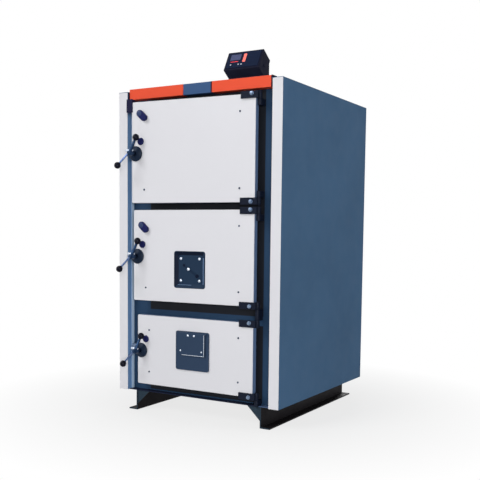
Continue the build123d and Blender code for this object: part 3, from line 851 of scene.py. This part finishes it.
def air_damper():
    eased("damper_plate", 0.8 * mm, [damper_blue], steps=3)
    eased("air_flap", 0.6 * mm, [damper_blue])
    low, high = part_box("air_flap")
    work = bmesh.new()
    for x, z, radius in ((-15, 84, 5), (15, 84, 5), (-53, 18.5, 4), (53, 18.5, 4)):
        rivet(work, radius * mm, facing_front(door_middle + x * mm, low.y, low.z + z * mm))
    piece_from("flap_rivets", work, [zinc], "air_flap")
    # Bright zinc strips along the flap's right and lower front edges: painted highlight
    work = bmesh.new()
    front = low.y - 1.2 * mm
    lip = 2.2 * mm
    slab(work, (high.x - lip, front, low.z + lip), (high.x, low.y, high.z - 6 * mm), Matrix(), 0.4 * mm)
    slab(work, (low.x + 20 * mm, front, low.z), (high.x, low.y, low.z + lip), Matrix(), 0.4 * mm)
    piece_from("flap_edge_highlight", work, [zinc], "air_flap")


# Control box
def control_box():
    def lit_underside(face):
        """1 on what faces down, which takes a lighter finish as painted light, 0 on the rest of the case."""
        return 1 if face.normal.z < -0.2 else 0

    eased("controller_case", 1.2 * mm, [case_black, case_painted_light], steps=3, choose=lit_underside)
    eased("controller_face", 0.7 * mm, [face_black])
    low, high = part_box("controller_case")
    # The face leans back by this much over this rise
    back, rise = 43, 79
    lean = Vector((0, back, rise)).normalized()
    out = Vector((0, -rise, back)).normalized()
    corner = Vector((low.x, jacket_front + 77 * mm, jacket_top + 64 * mm))
    panel = Matrix((
        (1, lean.x, out.x, corner.x),
        (0, lean.y, out.y, corner.y),
        (0, lean.z, out.z, corner.z),
        (0, 0, 0, 1),
    ))
    wide = high.x - low.x
    tall = 89.94 * mm
    skin = 2 * mm
    display(panel, wide, tall, skin)
    work = bmesh.new()
    cap = [(0, 1.1), (1.8, 1.2), (2.9, 1.5), (3.3, 1.2), (3.3, 0), (0, 0)]
    row_share = 0.24
    for share in (0.18, 0.40, 0.48):
        lathe(work, in_metres(cap), panel @ Matrix.Translation((share * wide, row_share * tall, skin)), 28)
    piece_from("controller_buttons", work, [button_grey], "boiler")
    work = bmesh.new()
    middle = (jacket_front + 126 * mm, jacket_top + 78 * mm)
    radius, thick = 7 * mm, 1.6 * mm
    for side in (1, -1):
        spot = Vector((high.x if side > 0 else low.x, *middle))
        washer(work, radius, thick, along(spot, spot + Vector((side, 0, 0))))
    piece_from("controller_side_caps", work, [case_black], "boiler")


def display(panel, wide, tall, skin):
    """The framed window, the line under it and the bar beside it, in shares of the face."""
    frame_ring = bmesh.new()
    left, right, bottom, top = 0.11 * wide, 0.43 * wide, 0.47 * tall, 0.84 * tall
    rim = 1.8 * mm
    bars = (
        ((left, bottom), (right, bottom + rim)), ((left, top - rim), (right, top)),
        ((left, bottom + rim), (left + rim, top - rim)), ((right - rim, bottom + rim), (right, top - rim)),
    )
    for low, high in bars:
        slab(frame_ring, (*low, skin), (*high, skin + 1.2 * mm), panel, 0.3 * mm)
    piece_from("display_frame", frame_ring, [case_black], "boiler")
    glass = bmesh.new()
    slab(glass, (left + rim, bottom + rim, skin), (right - rim, top - rim, skin + 0.6 * mm), panel, 0.2 * mm)
    piece_from("display_screen", glass, [screen_blue], "boiler")
    line = bmesh.new()
    low, high = (0.15 * wide, 0.395 * tall, skin), (0.37 * wide, 0.425 * tall, skin + 0.6 * mm)
    slab(line, low, high, panel, 0.2 * mm)
    piece_from("display_line", line, [line_red], "boiler")
    bar = bmesh.new()
    low, high = (0.49 * wide, 0.36 * tall, skin), (0.57 * wide, 0.81 * tall, skin + 0.9 * mm)
    slab(bar, low, high, panel, 0.3 * mm)
    piece_from("display_bar", bar, [bar_salmon], "boiler")


jacket()
header_joints_and_shade()
welded_body()
front_sill()
back_connections()
back_screws()
for number in doors:
    door(number)
    lever(number)
    ball_shadow_disc(number)
corner_shadow_angle()
for number in (1, 2):
    pull_knob(number)
blanking_cover()
air_damper()
control_box()


# Camera, as the photograph was taken
def camera():
    turn, tilt, roll = math.radians(30.442), math.radians(4.786), math.radians(0.603)
    ahead = Vector((-math.sin(turn) * math.cos(tilt), math.cos(turn) * math.cos(tilt), -math.sin(tilt)))
    right = Vector((math.cos(turn), math.sin(turn), 0))
    up = right.cross(ahead)
    right, up = right * math.cos(roll) + up * math.sin(roll), up * math.cos(roll) - right * math.sin(roll)
    lens = bpy.data.cameras.new("camera")
    lens.sensor_width = 36
    lens.lens = 58.49
    lens.shift_x = 0.0009
    lens.shift_y = 0.1187
    lens.clip_end = 60
    eye = bpy.data.objects.new("camera", lens)
    spot = Vector((1.8062, jacket_front - 2.7039, jacket_foot + 0.7049))
    eye.matrix_world = Matrix((
        (right.x, up.x, -ahead.x, spot.x),
        (right.y, up.y, -ahead.y, spot.y),
        (right.z, up.z, -ahead.z, spot.z),
        (0, 0, 0, 1),
    ))
    bpy.context.scene.collection.objects.link(eye)
    bpy.context.scene.camera = eye


# Studio
def lamp(name, spot, aim, size, power):
    light = bpy.data.lights.new(name, "AREA")
    light.shape = "RECTANGLE"
    light.size, light.size_y = size
    light.energy = power
    holder = bpy.data.objects.new(name, light)
    aimed = (Vector(aim) - Vector(spot)).to_track_quat("-Z", "Y").to_matrix().to_4x4()
    holder.matrix_world = Matrix.Translation(spot) @ aimed
    bpy.context.scene.collection.objects.link(holder)


def seen_rays(tree):
    """1 where the eye, a mirror or glass looks, 0 where light falls."""
    path = add(tree, "ShaderNodeLightPath")
    first = add(tree, "ShaderNodeMath", {"operation": "MAXIMUM"})
    second = add(tree, "ShaderNodeMath", {"operation": "MAXIMUM"})
    tree.links.new(path.outputs["Is Camera Ray"], first.inputs[0])
    tree.links.new(path.outputs["Is Glossy Ray"], first.inputs[1])
    tree.links.new(first.outputs[0], second.inputs[0])
    tree.links.new(path.outputs["Is Transmission Ray"], second.inputs[1])
    return second.outputs[0]


def studio():
    lamp("key", (-5.10, -9.60, 8.39), (0, -0.4, 0.75), (5.5, 5.5), 780)
    lamp("fill", (5.17, -7.52, 1.5), (0, -0.4, 0.7), (2.2, 2.2), 384)
    lamp("side", (7.6, 3.0, 2.8), (0.4, 0.1, 0.7), (2.4, 2.4), 70)
    lamp("back", (-2.5, 8.5, 3.0), (0, 0.4, 0.7), (3.0, 3.0), 170)
    world = bpy.data.worlds.new("studio")
    world.use_nodes = True
    bpy.context.scene.world = world
    tree = world.node_tree
    sky = tree.nodes["Background"]
    sky.inputs["Color"].default_value = (1, 1, 1, 1)
    tree.links.new(between(tree, seen_rays(tree), 0.12, 1.0, 0.0, 1.0), sky.inputs["Strength"])
    work = bmesh.new()
    bmesh.ops.create_grid(work, x_segments=8, y_segments=8, size=9)
    mesh = bpy.data.meshes.new("studio_floor")
    work.to_mesh(mesh)
    work.free()
    floor = bpy.data.objects.new("studio_floor", mesh)
    bpy.context.scene.collection.objects.link(floor)
    mesh.materials.append(floor_white())


def floor_white():
    """A pale floor that fades to the white background away from the boiler."""
    finish = bpy.data.materials.new("floor_white")
    finish.use_nodes = True
    tree = finish.node_tree
    tree.nodes.remove(tree.nodes["Principled BSDF"])
    pale = add(tree, "ShaderNodeBsdfDiffuse", Color=(0.6, 0.6, 0.6, 1))
    white = add(tree, "ShaderNodeEmission", Color=(1, 1, 1, 1), Strength=1.0)
    place = add(tree, "ShaderNodeTexCoord")
    reach = add(tree, "ShaderNodeVectorMath", {"operation": "LENGTH"})
    tree.links.new(place.outputs["Object"], reach.inputs[0])
    fade = between(tree, reach.outputs["Value"], 0.78, 1.0, 0.5, 1.3)
    share = add(tree, "ShaderNodeMath", {"operation": "MULTIPLY"})
    tree.links.new(fade, share.inputs[0])
    tree.links.new(seen_rays(tree), share.inputs[1])
    mix = add(tree, "ShaderNodeMixShader")
    tree.links.new(share.outputs[0], mix.inputs["Fac"])
    tree.links.new(pale.outputs[0], mix.inputs[1])
    tree.links.new(white.outputs[0], mix.inputs[2])
    tree.links.new(mix.outputs[0], tree.nodes["Material Output"].inputs["Surface"])
    return finish


camera()
studio()
bpy.context.scene.view_settings.view_transform = "Standard"
